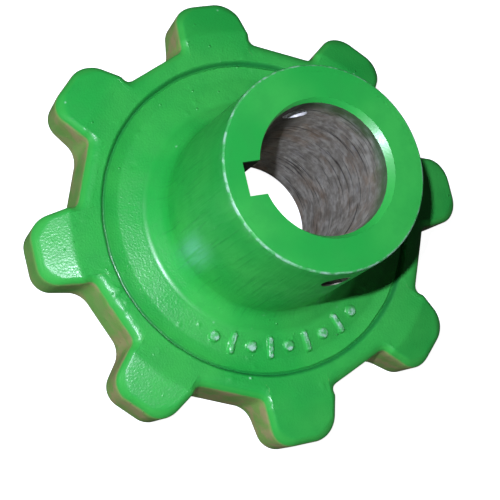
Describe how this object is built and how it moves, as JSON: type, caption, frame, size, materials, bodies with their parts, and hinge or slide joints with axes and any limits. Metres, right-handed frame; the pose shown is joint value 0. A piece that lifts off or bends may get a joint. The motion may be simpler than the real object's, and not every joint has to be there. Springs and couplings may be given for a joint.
{
  "type": "chain sprocket",
  "caption": "Cast iron roller chain drive sprocket with a long hub on one side, a keyed shaft bore and a cross hole through the hub.",
  "frame": {"origin": "on the bore's axis, in the back plane of the rim and teeth", "axes": "+Z along the bore's axis towards the hub's end face; +X through the middle of a tooth, opposite the keyway; the cross hole runs along Y"},
  "size_m": [0.116, 0.116, 0.0583],
  "materials": {
    "green_enamel": "gloss enamel over sand-cast iron; the bore and keyway are bare machined iron"
  },
  "bodies": {
    "root": {"sprocket_casting": "green_enamel"}
  },
  "joints": []
}
